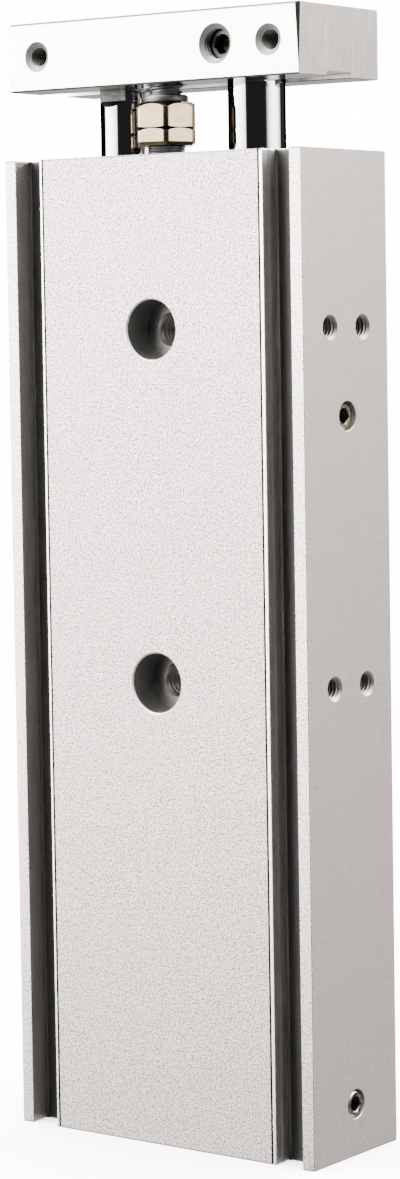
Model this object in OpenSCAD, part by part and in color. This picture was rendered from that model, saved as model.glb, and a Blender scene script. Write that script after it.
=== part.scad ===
// Twin-rod pneumatic slide table: an extruded two-bore body, two piston
// rods carrying an end plate, and an adjustable stop bolt under the plate.
// Stands on its head end.  +Z is the direction of the stroke, -Y is the
// front face with the sensor grooves, +X is the face with the plugged ports.
// Origin: centre of the body's head-end face.  All lengths in millimetres.

/* [Stroke] */
// Working stroke of the table
stroke = 100; // [50:5:150]

/* [Body] */
// Width of the extruded body across the front face
body_w = 64; // [64:0.5:68]
// Depth of the extruded body from front face to back face
body_d = 25.4; // [25.4:0.2:28]
// Distance between the two cylinder bores
bore_pitch = 28; // [28:0.25:29]
// Diameter of the two cylinder bores
bore_d = 20; // [20:0.1:20.4]
// Break on the two long corners at the front
corner_break = 0.3; // [0.2:0.05:0.6]
// Break on the two long corners at the back
back_break = 0.5; // [0.3:0.05:0.8]

/* [Sensor grooves] */
// Width of each sensor groove
groove_w = 5.5; // [5:0.1:5.8]
// Depth of each sensor groove
groove_g = 4.2; // [3.8:0.1:4.4]
// Width of the land outside each groove
land_w = 2.4; // [2.2:0.1:3]
// Distance of the score line from the edge of the groove
score_in = 0.8; // [0.6:0.05:1.5]

/* [Body holes] */
// Diameter of the counterbores on the front and back faces
cb_d = 10.4; // [9:0.1:10.6]
// Depth of the counterbores
cb_depth = 5.9; // [4:0.1:6]
// Thread size of the through holes under the counterbores
through_d = 6; // [5:0.5:6]
// Distance of the upper hole row from the rod end of the body
hole_row_top = 30; // [28:1:36]
// Distance between the two hole rows
hole_row_pitch = 61; // [40:1:64]
// Thread size of the side holes
side_hole_d = 4; // [3:0.5:4]
// Spacing of the two side holes in a row
side_hole_pitch = 9.7; // [9:0.1:10.5]
// Depth of the side holes
side_hole_depth = 6.5; // [4:0.5:6.5]

/* [Ports] */
// Thread size of the air ports
port_d = 5; // [4:0.5:5]
// Distance of the rod-end port from the rod end of the body
port_top = 45; // [45:0.5:46]
// Height of the head-end port above the head end of the body
port_bottom = 9; // [9:0.25:9.5]
// Bore of the air passage behind the ports
passage_d = 2.5; // [1.5:0.1:2.5]

/* [Rods and pistons] */
// Diameter of the piston rods
rod_d = 10; // [9.6:0.1:10]
// Width across the wrench flats of rod A
flat_af = 8; // [7.5:0.1:8.6]
// Radial clearance between each rod and its cover
rod_clear = 0.03; // [0.02:0.01:0.08]

/* [End plate] */
// Width of the end plate
plate_w = 62.4; // [61:0.2:64]
// Depth of the end plate
plate_d = 23.6; // [23.4:0.2:25]
// Thickness of the end plate
plate_t = 12; // [12:0.25:14]
// Gap between the body and the end plate with the table in
plate_gap = 12; // [12:0.25:14]
// Distance between the outer tapped holes of the plate
plate_hole_pitch = 50; // [49:0.5:52]
// Width of the channel along the underside of the plate
channel_w = 7.4; // [6:0.2:8]
// Depth of the channel
channel_h = 0.9; // [0.5:0.1:1.2]

/* [Stop bolt] */
// Distance of the stop bolt from the front face of the body
stop_in = 5.35; // [5.35:0.05:5.6]
// Thread size of the stop bolt
stop_d = 6; // [5:0.5:6]
// Width across flats of the bolt head and lock nut
hex_af = 10; // [9.6:0.1:10]
// Height of the bolt head
head_h = 2.95; // [2.5:0.05:3.2]
// Height of the lock nut
nut_h = 4.45; // [4:0.05:4.6]
// Thickness of the round washer above the nut
washer_h = 1.25; // [1:0.05:1.3]

/* [Hidden] */
$fn = 64;
e = 0.01;

body_l = stroke + 72;
hw = body_w / 2;
hd = body_d / 2;
xa = -bore_pitch / 2;              // bore and rod A
xb = bore_pitch / 2;               // bore and rod B
gi = hw - land_w - groove_w;       // inner edge of a groove
go = hw - land_w;                  // outer edge of a groove
row_hi = body_l - hole_row_top;
row_lo = row_hi - hole_row_pitch;
port_hi = body_l - port_top;
port_lo = port_bottom;

// rod-end cover, from the inside out
cover_z0 = body_l - 42;
cover_z1 = body_l - 2.6;
pocket_z = cover_z1 - 4.2;
// head cover
head_z0 = 3.3;
head_z1 = 7.3;
// piston, with the table in
pist_z0 = 12;
pist_z1 = 22.5;

plate_z0 = body_l + plate_gap;
plate_z1 = plate_z0 + plate_t;
hole_z = plate_z0 + plate_t / 2;
stop_y = -hd + stop_in;
bump_h = 1.45;
head_z = body_l + bump_h + 0.05;          // underside of the bolt head
nut_z = head_z + head_h + 0.1;
washer_z = nut_z + nut_h + 0.05;
hex_turn = -53;                            // hex corner towards front right

module along_x(x) { translate([x, 0, 0]) rotate([0, 90, 0]) children(); }

// ring with a square section
module ring(od, id, z0, z1) {
    translate([0, 0, z0]) difference() {
        cylinder(d = od, h = z1 - z0);
        translate([0, 0, -1]) cylinder(d = id, h = z1 - z0 + 2);
    }
}

// round-section sealing ring
module oring(mid_r, sec_d, z) {
    translate([0, 0, z]) rotate_extrude() translate([mid_r, 0]) circle(d = sec_d, $fn = 24);
}

// internal retaining ring with a gap and two lug holes, opening towards -Y
module retaining_ring(z) {
    translate([0, 0, z]) difference() {
        union() {
            difference() {
                cylinder(d = bore_d + 1.1, h = 1.1);
                translate([0, 0, -1]) cylinder(d = bore_d - 2.2, h = 4);
                translate([-2.2, -bore_d, -1]) cube([4.4, bore_d, 4]);
            }
            for (s = [-1, 1]) translate([s * 3.4, -bore_d / 2 + 1.9, 0]) cylinder(d = 3.6, h = 1.1);
        }
        for (s = [-1, 1]) translate([s * 3.4, -bore_d / 2 + 2.1, -1]) cylinder(d = 1.6, h = 4);
    }
}

// threaded or plain hole along -X into the +X face, with a small chamfer
module side_hole(d, depth, mouth) {
    translate([-depth, 0, 0]) rotate([0, 90, 0]) cylinder(d = d, h = depth + 1);
    translate([-(mouth - d) / 2, 0, 0]) rotate([0, 90, 0])
        cylinder(d1 = d, d2 = mouth + 2 * e, h = (mouth - d) / 2 + e);
}

// inner wall of a groove, from the face down to the floor, with a fine bead
// half way down; s = 1 on the right-hand groove
function wall_in(x, s) = [
    [x - s * 0.08, -hd], [x, -hd + 0.08], [x, -hd + 0.55], [x - s * 0.17, -hd + 0.72],
    [x - s * 0.17, -hd + 1.9], [x, -hd + 2.0], [x, -hd + 2.25], [x - s * 0.17, -hd + 2.35],
    [x - s * 0.17, -hd + groove_g - 0.36], [x + s * 0.19, -hd + groove_g]];

// outer wall of a groove: plain, under a short lip
function wall_out(x, s) = [
    [x - s * 0.08, -hd], [x, -hd + 0.08], [x, -hd + 0.55], [x - s * 0.16, -hd + 0.72],
    [x - s * 0.16, -hd + groove_g - 0.36], [x + s * 0.2, -hd + groove_g]];

function flip(p) = [for (i = [len(p) - 1:-1:0]) p[i]];

// right half of the extrusion's outline, anticlockwise from the front centre
function half_outline() = concat(
    [[gi - score_in - 0.12, -hd], [gi - score_in, -hd + 0.2], [gi - score_in + 0.12, -hd]],
    wall_in(gi, 1), flip(wall_out(go, -1)),
    [[hw - corner_break, -hd], [hw, -hd + corner_break],
     [hw, hd - back_break], [hw - 0.29 * back_break, hd - 0.29 * back_break], [hw - back_break, hd]]);

function mirrored(p) = flip([for (q = p) [-q[0], q[1]]]);

module housing() {
    color([0.80, 0.79, 0.78]) difference() {
        linear_extrude(height = body_l) polygon(concat(half_outline(), mirrored(half_outline())));
        // cylinder bores, lead-ins and retaining ring grooves
        for (x = [xa, xb]) translate([x, 0, 0]) {
            translate([0, 0, -1]) cylinder(d = bore_d, h = body_l + 2);
            translate([0, 0, 2]) cylinder(d = bore_d + 1.2, h = 1.25);
            translate([0, 0, cover_z1 - 0.05]) cylinder(d = bore_d + 1.2, h = 1.25);
            translate([0, 0, -e]) cylinder(d1 = bore_d + 0.8, d2 = bore_d, h = 0.4);
            translate([0, 0, body_l - 0.4 + e]) cylinder(d1 = bore_d, d2 = bore_d + 0.8, h = 0.4);
        }
        // counterbored through holes, front and back
        for (z = [row_hi, row_lo]) translate([0, 0, z]) rotate([90, 0, 0]) {
            translate([0, 0, -hd - 1]) cylinder(d = through_d, h = body_d + 2);
            for (s = [0, 1]) mirror([0, 0, s]) {
                translate([0, 0, hd - cb_depth]) cylinder(d = cb_d, h = cb_depth + 1);
                translate([0, 0, hd - 0.15]) cylinder(d1 = cb_d, d2 = cb_d + 0.3 + 2 * e, h = 0.15 + e);
                translate([0, 0, hd - cb_depth - 0.25]) cylinder(d1 = through_d, d2 = through_d + 0.5 + 2 * e, h = 0.25 + e);
            }
        }
        // rows of tapped holes and the air ports on both sides
        for (s = [0, 1]) mirror([s, 0, 0]) translate([hw, 0, 0]) {
            for (z = [row_hi, row_lo], y = [-0.5, 0.5])
                translate([0, y * side_hole_pitch, z]) side_hole(side_hole_d, side_hole_depth, side_hole_d + 0.4);
            for (z = [port_hi, port_lo]) translate([0, 0, z]) side_hole(port_d, 5.5, port_d + 0.3);
        }
        // air passages that join both bores to both ports
        for (z = [port_hi, port_lo]) translate([-hw + 5, 0, z]) rotate([0, 90, 0])
            cylinder(d = passage_d, h = body_w - 10);
        // edge break along the foot of the front face
        translate([-(gi - score_in), -hd, 0]) rotate([45, 0, 0])
            translate([0, -0.22, -0.22]) cube([2 * (gi - score_in), 0.44, 0.44]);
    }
}

// ---- rod end of each bore ------------------------------------------------
module rod_cover(x) {
    color([0.72, 0.70, 0.66]) translate([x, 0, 0]) difference() {
        union() {
            translate([0, 0, cover_z0 + 0.6]) cylinder(d = bore_d - 0.06, h = cover_z1 - cover_z0 - 0.6);
            translate([0, 0, cover_z0]) cylinder(d1 = bore_d - 1.2, d2 = bore_d - 0.06, h = 0.6 + e);
        }
        translate([0, 0, cover_z0 - 1]) cylinder(d = rod_d + 2 * rod_clear, h = 60);
        translate([0, 0, pocket_z]) cylinder(d = rod_d + 6, h = 10);
        translate([0, 0, cover_z0 + 19]) difference() {
            cylinder(d = bore_d + 2, h = 2);
            translate([0, 0, -1]) cylinder(d = bore_d - 3.2, h = 4);
        }
        translate([0, 0, cover_z0 - e]) cylinder(d1 = rod_d + 0.9, d2 = rod_d + 2 * rod_clear, h = 0.4);
    }
}

module rod_cover_oring(x) {
    color([0.05, 0.05, 0.05]) translate([x, 0, 0]) oring(bore_d / 2 - 0.84, 1.48, cover_z0 + 20);
}

// lip seal round the rod: a ring with a groove between its two lips
module rod_seal(x) {
    color([0.05, 0.05, 0.05]) translate([x, 0, 0]) difference() {
        ring(rod_d + 5.9, rod_d + 0.1, pocket_z, pocket_z + 2.8);
        ring(rod_d + 3.8, rod_d + 2, pocket_z - 1, pocket_z + 1.4);
    }
}

module seal_retainer(x) {
    color([0.35, 0.35, 0.36]) translate([x, 0, 0]) ring(rod_d + 5.9, rod_d + 0.7, pocket_z + 2.9, pocket_z + 4.1);
}

module rod_retaining_ring(x) {
    color([0.2, 0.2, 0.22]) translate([x, 0, 0]) retaining_ring(cover_z1 + 0.02);
}

// ---- head end of each bore ------------------------------------------------
module head_cover(x) {
    color([0.72, 0.70, 0.66]) translate([x, 0, 0]) difference() {
        translate([0, 0, head_z0]) cylinder(d = bore_d - 0.06, h = head_z1 - head_z0);
        translate([0, 0, head_z0 + 1.05]) difference() {
            cylinder(d = bore_d + 2, h = 1.9);
            translate([0, 0, -1]) cylinder(d = bore_d - 3.2, h = 4);
        }
        // shallow turned recess on the outside
        translate([0, 0, head_z0 - 1]) cylinder(d = bore_d - 9, h = 1.8);
    }
}

module head_cover_oring(x) {
    color([0.05, 0.05, 0.05]) translate([x, 0, 0]) oring(bore_d / 2 - 0.84, 1.48, head_z0 + 2);
}

module head_retaining_ring(x) {
    color([0.2, 0.2, 0.22]) translate([x, 0, 0]) retaining_ring(2.1);
}

// ---- port plugs: socket set screws in the +X ports ------------------------
module port_plug(z, sunk) {
    color([0.78, 0.74, 0.66]) translate([hw - sunk, 0, z]) rotate([0, 90, 0]) difference() {
        union() {
            translate([0, 0, -4.4]) cylinder(d1 = port_d - 0.8, d2 = port_d - 0.06, h = 0.5 + e);
            translate([0, 0, -3.9]) cylinder(d = port_d - 0.06, h = 3.6);
            translate([0, 0, -0.3 - e]) cylinder(d1 = port_d - 0.06, d2 = port_d - 0.6, h = 0.3 + e);
        }
        translate([0, 0, -2.4]) cylinder(d = 2.5 / cos(30), h = 3, $fn = 6);
        translate([0, 0, -0.25]) cylinder(d1 = 2.5, d2 = 3.1, h = 0.26);
    }
}

// ---- end plate --------------------------------------------------------------
function plate_outline() = let (h = plate_d / 2, t = plate_t, c = 0.25, w = channel_w / 2) [
    [-h + c, 0], [-w, 0], [-w, channel_h], [w, channel_h], [w, 0], [h - c, 0],
    [h, c], [h, t - 0.4], [h - 0.4, t], [-h + 0.6, t], [-h, t - 0.6], [-h, c]];

module end_plate() {
    pw = plate_w / 2;
    pd = plate_d / 2;
    color([0.90, 0.90, 0.88]) difference() {
        translate([-pw, 0, plate_z0]) rotate([90, 0, 90]) linear_extrude(height = plate_w)
            polygon(plate_outline());
        // breaks on the upright corners; the front right one widens upwards
        for (x = [-1, 1]) translate([x * pw, pd, plate_z0 - 1]) rotate([0, 0, 45])
            translate([-0.25, -0.25, 0]) cube([0.5, 0.5, plate_t + 2]);
        translate([-pw, -pd, plate_z0 - 1]) rotate([0, 0, 45])
            translate([-0.2, -0.2, 0]) cube([0.4, 0.4, plate_t + 2]);
        translate([pw, -pd, plate_z0 + plate_t]) rotate([0, 0, 45]) rotate([-2.1, 0, 0])
            translate([-2, -1.6, -plate_t - 2]) cube([4, 2.0, plate_t + 4]);
        // breaks along the top of both ends
        for (x = [-1, 1]) translate([x * pw, -pd - 1, plate_z1]) rotate([0, 45, 0])
            translate([-0.2, 0, -0.2]) cube([0.4, plate_d + 2, 0.4]);
        // rod A: socket below, through hole, counterbore for its cap screw
        translate([xa, 0, plate_z0 - 1]) cylinder(d = rod_d + 0.04, h = 4.6);
        translate([xa, 0, plate_z0]) cylinder(d = 6.4, h = plate_t + 1);
        translate([xa, 0, plate_z1 - 6.1]) cylinder(d = 10.6, h = 8);
        // rod B: blind socket
        translate([xb, 0, plate_z0 - 1]) cylinder(d = rod_d + 0.04, h = plate_t - 0.4);
        // tapped hole of the rod lock screw, from the front into rod B's socket
        translate([xb, -pd - 1, hole_z]) rotate([-90, 0, 0]) cylinder(d = 6.02, h = pd);
        translate([xb, -pd - e, hole_z]) rotate([-90, 0, 0]) cylinder(d1 = 6.76, d2 = 6.02, h = 0.37);
        // tapped hole of the stop bolt
        translate([0, stop_y, plate_z0 - 1]) cylinder(d = stop_d + 0.04, h = plate_t + 2);
        translate([0, stop_y, plate_z0 - e]) cylinder(d1 = stop_d + 0.7, d2 = stop_d, h = 0.35);
        translate([0, stop_y, plate_z1 - 0.35 + e]) cylinder(d1 = stop_d, d2 = stop_d + 0.7, h = 0.35);
        // outer tapped holes, front and back faces
        for (s = [0, 1]) mirror([0, s, 0]) {
            for (x = [-1, 1]) translate([x * plate_hole_pitch / 2, -pd, hole_z]) rotate([-90, 0, 0]) {
                translate([0, 0, -1]) cylinder(d = 4, h = 7);
                translate([0, 0, -e]) cylinder(d1 = 5.3, d2 = 4, h = 0.65);
            }
        }
        // tapped through holes of the top face
        for (x = [-1, 1]) translate([x * plate_hole_pitch / 2, 0, 0]) {
            translate([0, 0, plate_z0 - 1]) cylinder(d = 5, h = plate_t + 2);
            translate([0, 0, plate_z1 - 0.4 + e]) cylinder(d1 = 5, d2 = 5.8, h = 0.4);
        }
    }
}

// ---- piston rods --------------------------------------------------------------
module rod_shaft(x, top) {
    translate([x, 0, 0]) {
        translate([0, 0, pist_z0]) cylinder(d = 6, h = pist_z1 - pist_z0 + 1);
        translate([0, 0, pist_z1]) cylinder(d = rod_d, h = top - pist_z1 - 0.4);
        translate([0, 0, top - 0.4 - e]) cylinder(d1 = rod_d, d2 = rod_d - 0.8, h = 0.4 + e);
    }
}

module piston_rod_a() {
    top = plate_z0 + 3.6;
    color([0.85, 0.85, 0.87]) difference() {
        rod_shaft(xa, top);
        translate([xa, 0, pist_z0 - 1]) cylinder(d = 4, h = 10);
        translate([xa, 0, top - 15]) cylinder(d = 6, h = 16);
        // two wrench flats just under the plate, with sloping run-outs
        translate([xa, 0, plate_z0]) rotate([0, 0, -5]) for (s = [0, 1]) mirror([0, s, 0]) {
            translate([-rod_d, -rod_d, -1.9]) cube([2 * rod_d, rod_d - flat_af / 2, 1.9]);
            translate([-rod_d, -flat_af / 2, -1.9]) rotate([48, 0, 0])
                translate([0, -3 * rod_d, 0]) cube([2 * rod_d, 3 * rod_d, 1.3]);
        }
    }
}

module piston_rod_b() {
    color([0.85, 0.85, 0.87]) difference() {
        rod_shaft(xb, plate_z1 - 1.5);
        translate([xb, 0, pist_z0 - 1]) cylinder(d = 4, h = 10);
    }
}

module plate_cap_screw() {
    color([0.25, 0.25, 0.26]) translate([xa, 0, 0]) difference() {
        union() {
            translate([0, 0, plate_z1 - 6.08]) cylinder(d = 10, h = 5.4);
            translate([0, 0, plate_z1 - 0.68 - e]) cylinder(d1 = 10, d2 = 9.2, h = 0.4);
            translate([0, 0, plate_z1 - 21]) cylinder(d = 5.94, h = 15);
        }
        translate([0, 0, plate_z1 - 3.4]) cylinder(d = 5 / cos(30), h = 5, $fn = 6);
    }
}

module rod_lock_screw() {
    y0 = -plate_d / 2 + 2;
    y1 = -rod_d / 2 - 0.05;
    color([0.25, 0.25, 0.26]) translate([xb, 0, hole_z]) difference() {
        union() {
            translate([0, y0, 0]) rotate([-90, 0, 0]) cylinder(d1 = 5.4, d2 = 5.98, h = 0.3 + e);
            translate([0, y0 + 0.3, 0]) rotate([-90, 0, 0]) cylinder(d = 5.98, h = y1 - y0 - 0.9);
            translate([0, y1 - 0.6 - e, 0]) rotate([-90, 0, 0]) cylinder(d1 = 5.98, d2 = 4.4, h = 0.6);
        }
        translate([0, y0 - 1, 0]) rotate([-90, 0, 0]) cylinder(d = 3 / cos(30), h = 3.4, $fn = 6);
    }
}

// ---- pistons --------------------------------------------------------------------
module piston(x) {
    color([0.75, 0.75, 0.77]) translate([x, 0, 0]) difference() {
        translate([0, 0, pist_z0]) cylinder(d = bore_d - 0.1, h = pist_z1 - pist_z0);
        translate([0, 0, pist_z0 - 1]) cylinder(d = 6.06, h = 20);
        ring(bore_d + 2, bore_d - 7, pist_z0 + 1.6, pist_z0 + 4.8);
        ring(bore_d + 2, bore_d - 3.6, pist_z0 + 6.2, pist_z0 + 8.8);
    }
}

module piston_seal(x) {
    color([0.05, 0.05, 0.05]) translate([x, 0, 0]) difference() {
        ring(bore_d - 0.06, bore_d - 3.5, pist_z0 + 6.3, pist_z0 + 8.7);
        ring(bore_d + 2, bore_d - 0.9, pist_z0 + 7.2, pist_z0 + 7.8);
    }
}

module piston_magnet(x) {
    color([0.25, 0.22, 0.2]) translate([x, 0, 0]) ring(bore_d - 0.7, bore_d - 6.9, pist_z0 + 1.7, pist_z0 + 4.7);
}

module rod_end_bumper(x) {
    color([0.85, 0.6, 0.2]) translate([x, 0, 0]) ring(15, rod_d + 0.2, pist_z1, pist_z1 + 2.1);
}

module head_end_bumper(x) {
    color([0.85, 0.6, 0.2]) translate([x, 0, 0]) ring(15, 8.8, pist_z0 - 2.5, pist_z0);
}

module piston_screws() {
    color([0.25, 0.25, 0.26]) for (x = [xa, xb]) translate([x, 0, pist_z0]) difference() {
        union() {
            translate([0, 0, -2.4]) cylinder(d = 8, h = 2.4);
            cylinder(d = 3.94, h = 8);
        }
        translate([0, 0, -3]) cylinder(d = 2.5 / cos(30), h = 2.2, $fn = 6);
    }
}

// ---- stop bolt, nut and washer -------------------------------------------------
// hexagon with turned chamfers: c0 at the foot, c1 at the top
module hex_block(h, c0, c1) {
    r = hex_af / 2 / cos(30);
    intersection() {
        rotate([0, 0, hex_turn]) cylinder(r = r, h = h, $fn = 6);
        union() {
            if (c0 > 0) cylinder(r1 = r - 1.15 * c0, r2 = r + 0.05, h = c0 + e);
            translate([0, 0, c0]) cylinder(r = r + 0.05, h = h - c0 - c1);
            if (c1 > 0) translate([0, 0, h - c1 - e]) cylinder(r1 = r + 0.05, r2 = r - 1.0 * c1, h = c1 + e);
        }
    }
}

module stop_bumper() {
    color([0.06, 0.06, 0.06]) translate([0, stop_y, body_l]) {
        translate([0, 0, 0.04]) cylinder(d1 = 6.0, d2 = 6.6, h = 0.3);
        translate([0, 0, 0.34]) cylinder(d = 6.6, h = bump_h - 0.34);
        cylinder_stub();
    }
}

module cylinder_stub() { translate([0, 0, bump_h - 0.2]) cylinder(d = 3, h = 1.4); }

module stop_bolt() {
    color([0.80, 0.76, 0.68]) translate([0, stop_y, 0]) difference() {
        union() {
            translate([0, 0, head_z]) hex_block(head_h, 0.45, 0.85);
            translate([0, 0, head_z + head_h - e]) cylinder(d = stop_d - 0.04, h = plate_z1 - 1 - head_z - head_h);
            translate([0, 0, plate_z1 - 1 - 2 * e]) cylinder(d1 = stop_d - 0.04, d2 = stop_d - 1, h = 0.5);
        }
        translate([0, 0, head_z - 1]) cylinder(d = 3.1, h = 2.3);
    }
}

module lock_nut() {
    color([0.80, 0.76, 0.68]) translate([0, stop_y, nut_z]) difference() {
        hex_block(nut_h, 0, 1.35);
        translate([0, 0, -1]) cylinder(d = stop_d + 0.06, h = nut_h + 2);
    }
}

module lock_washer() {
    color([0.45, 0.45, 0.46]) translate([0, stop_y, washer_z]) difference() {
        union() {
            cylinder(d = 7.7, h = washer_h - 0.35);
            translate([0, 0, washer_h - 0.35 - e]) cylinder(d1 = 7.7, d2 = 7, h = 0.35 + e);
        }
        translate([0, 0, -1]) cylinder(d = stop_d + 0.12, h = washer_h + 2);
    }
}

housing();
rod_cover(xa);  // rod_cover_a
rod_cover(xb);  // rod_cover_b
rod_cover_oring(xa);  // rod_cover_oring_a
rod_cover_oring(xb);  // rod_cover_oring_b
rod_seal(xa);  // rod_seal_a
rod_seal(xb);  // rod_seal_b
seal_retainer(xa);  // seal_retainer_a
seal_retainer(xb);  // seal_retainer_b
rod_retaining_ring(xa);  // rod_retaining_ring_a
rod_retaining_ring(xb);  // rod_retaining_ring_b
head_cover(xa);  // head_cover_a
head_cover(xb);  // head_cover_b
head_cover_oring(xa);  // head_cover_oring_a
head_cover_oring(xb);  // head_cover_oring_b
head_retaining_ring(xa);  // head_retaining_ring_a
head_retaining_ring(xb);  // head_retaining_ring_b
port_plug(port_hi, 0.7);  // port_plug_upper
port_plug(port_lo, 0.15);  // port_plug_lower
end_plate();
piston_rod_a();
piston_rod_b();
plate_cap_screw();
rod_lock_screw();
piston(xa);  // piston_a
piston(xb);  // piston_b
piston_seal(xa);  // piston_seal_a
piston_seal(xb);  // piston_seal_b
piston_magnet(xa);  // piston_magnet_a
piston_magnet(xb);  // piston_magnet_b
rod_end_bumper(xa);  // rod_end_bumper_a
rod_end_bumper(xb);  // rod_end_bumper_b
head_end_bumper(xa);  // head_end_bumper_a
head_end_bumper(xb);  // head_end_bumper_b
piston_screws();
stop_bumper();
stop_bolt();
lock_washer();
lock_nut();
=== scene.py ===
# Looks of the twin-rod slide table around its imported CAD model.
import math

import bpy
import bmesh
from mathutils import Matrix, Vector


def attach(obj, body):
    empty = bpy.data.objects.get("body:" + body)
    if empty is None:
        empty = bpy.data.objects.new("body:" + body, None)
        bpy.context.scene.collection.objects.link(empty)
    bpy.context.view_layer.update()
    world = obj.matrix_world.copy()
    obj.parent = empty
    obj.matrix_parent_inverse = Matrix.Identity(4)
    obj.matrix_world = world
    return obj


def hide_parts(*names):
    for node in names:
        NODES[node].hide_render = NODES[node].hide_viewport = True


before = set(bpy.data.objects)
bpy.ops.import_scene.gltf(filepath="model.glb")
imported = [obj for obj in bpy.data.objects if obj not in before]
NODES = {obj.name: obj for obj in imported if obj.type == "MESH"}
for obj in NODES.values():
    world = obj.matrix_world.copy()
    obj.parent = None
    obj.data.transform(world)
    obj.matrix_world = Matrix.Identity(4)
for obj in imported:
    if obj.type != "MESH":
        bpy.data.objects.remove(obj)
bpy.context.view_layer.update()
MM = 0.001

# ------------------------------------------------------------------ places
# All in millimetres in the part's frame: -Y is the front, +X the plugged side.
HW, HD, L = 32.0, 12.7, 172.0
XA, XB = -14.0, 14.0
GI, GO, GD = 24.1, 29.6, 4.2
ROWS = (142.0, 81.0)
PORTS = (127.0, 9.0)
PZ0, PZ1 = 184.0, 196.0
PW, PD = 31.2, 11.8
STOP_Y = -7.35
HOLE_Z = 190.0


# ------------------------------------------------------------------ mesh code
def link(ob):
    bpy.context.scene.collection.objects.link(ob)
    return ob


def mesh_object(name, verts, faces, mats=(), scale=MM):
    me = bpy.data.meshes.new(name)
    me.from_pydata([tuple(c * scale for c in v) for v in verts], [], faces)
    me.validate()
    me.update()
    ob = link(bpy.data.objects.new(name, me))
    for m in mats:
        me.materials.append(m)
    return ob


def baked(ob):
    """Replace an object's mesh by what its modifiers make of it."""
    bpy.context.view_layer.update()
    dg = bpy.context.evaluated_depsgraph_get()
    me = bpy.data.meshes.new_from_object(ob.evaluated_get(dg))
    old = ob.data
    ob.modifiers.clear()
    ob.data = me
    if old.users == 0:
        bpy.data.meshes.remove(old)
    return ob


def drop(ob):
    me = ob.data
    bpy.data.objects.remove(ob)
    if me.users == 0:
        bpy.data.meshes.remove(me)


def arc(cx, cy, r, a0, a1, n):
    return [(cx + r * math.cos(math.radians(a0 + (a1 - a0) * i / n)),
             cy + r * math.sin(math.radians(a0 + (a1 - a0) * i / n))) for i in range(n + 1)]


def fillet(pts, radii, n=4):
    """Round each corner of a closed outline by its own radius."""
    out = []
    k = len(pts)
    for i in range(k):
        p, a, b = Vector(pts[i]), Vector(pts[i - 1]), Vector(pts[(i + 1) % k])
        r = radii[i] if isinstance(radii, (list, tuple)) else radii
        if r <= 0:
            out.append((p.x, p.y))
            continue
        u, v = (a - p).normalized(), (b - p).normalized()
        half = math.acos(max(-1, min(1, u.dot(v)))) / 2
        if half > math.radians(88):
            out.append((p.x, p.y))
            continue
        t = r / math.tan(half)
        t = min(t, (a - p).length * 0.48, (b - p).length * 0.48)
        r = t * math.tan(half)
        c = p + (u + v).normalized() * (r / math.sin(half))
        s, e = p + u * t, p + v * t
        a0 = math.atan2(s.y - c.y, s.x - c.x)
        a1 = math.atan2(e.y - c.y, e.x - c.x)
        d = (a1 - a0 + math.pi) % (2 * math.pi) - math.pi
        for j in range(n + 1):
            w = a0 + d * j / n
            out.append((c.x + r * math.cos(w), c.y + r * math.sin(w)))
    return out


def inset(pts, d):
    """Move a closed anticlockwise outline inwards by d along its mitres."""
    out = []
    k = len(pts)
    for i in range(k):
        p, a, b = Vector(pts[i]), Vector(pts[i - 1]), Vector(pts[(i + 1) % k])
        u, v = (p - a).normalized(), (b - p).normalized()
        n1, n2 = Vector((-u.y, u.x)), Vector((-v.y, v.x))
        m = n1 + n2
        m = m / max(0.25, m.dot(m)) * 2 if m.length > 1e-6 else n1
        out.append((p.x + m.x * d, p.y + m.y * d))
    return out


def prism(name, outline, rows, mats=(), place=None):
    """Stack copies of an outline. rows are (height, inset) from the foot up."""
    k = len(outline)
    verts, faces = [], []
    for z, d in rows:
        ring = inset(outline, d) if d else outline
        verts += [(x, y, z) for x, y in ring]
    for r in range(len(rows) - 1):
        for i in range(k):
            j = (i + 1) % k
            faces.append((r * k + i, r * k + j, (r + 1) * k + j, (r + 1) * k + i))
    faces.append(tuple(reversed(range(k))))
    faces.append(tuple(range((len(rows) - 1) * k, len(rows) * k)))
    if place is not None:
        verts = [tuple(place @ Vector(v)) for v in verts]
    return mesh_object(name, verts, faces, mats)


def lathe(name, profile, segs=64, mats=(), place=None, closed=False):
    """Turn an (r, z) profile about Z. Points with r = 0 close on the axis; a closed profile makes a ring."""
    verts, faces, rings = [], [], []
    for r, z in profile:
        if r <= 1e-9:
            rings.append([len(verts)])
            verts.append((0.0, 0.0, z))
        else:
            rings.append(list(range(len(verts), len(verts) + segs)))
            verts += [(r * math.cos(2 * math.pi * i / segs), r * math.sin(2 * math.pi * i / segs), z)
                      for i in range(segs)]
    pairs = list(zip(rings, rings[1:]))
    if closed:
        pairs.append((rings[-1], rings[0]))
    for a, b in pairs:
        for i in range(segs):
            j = (i + 1) % segs
            q = [a[i % len(a)], a[j % len(a)], b[j % len(b)], b[i % len(b)]]
            q = [v for n, v in enumerate(q) if v not in q[:n]]
            if len(q) > 2:
                faces.append(tuple(q))
    if place is not None:
        verts = [tuple(place @ Vector(v)) for v in verts]
    return mesh_object(name, verts, faces, mats)


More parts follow.
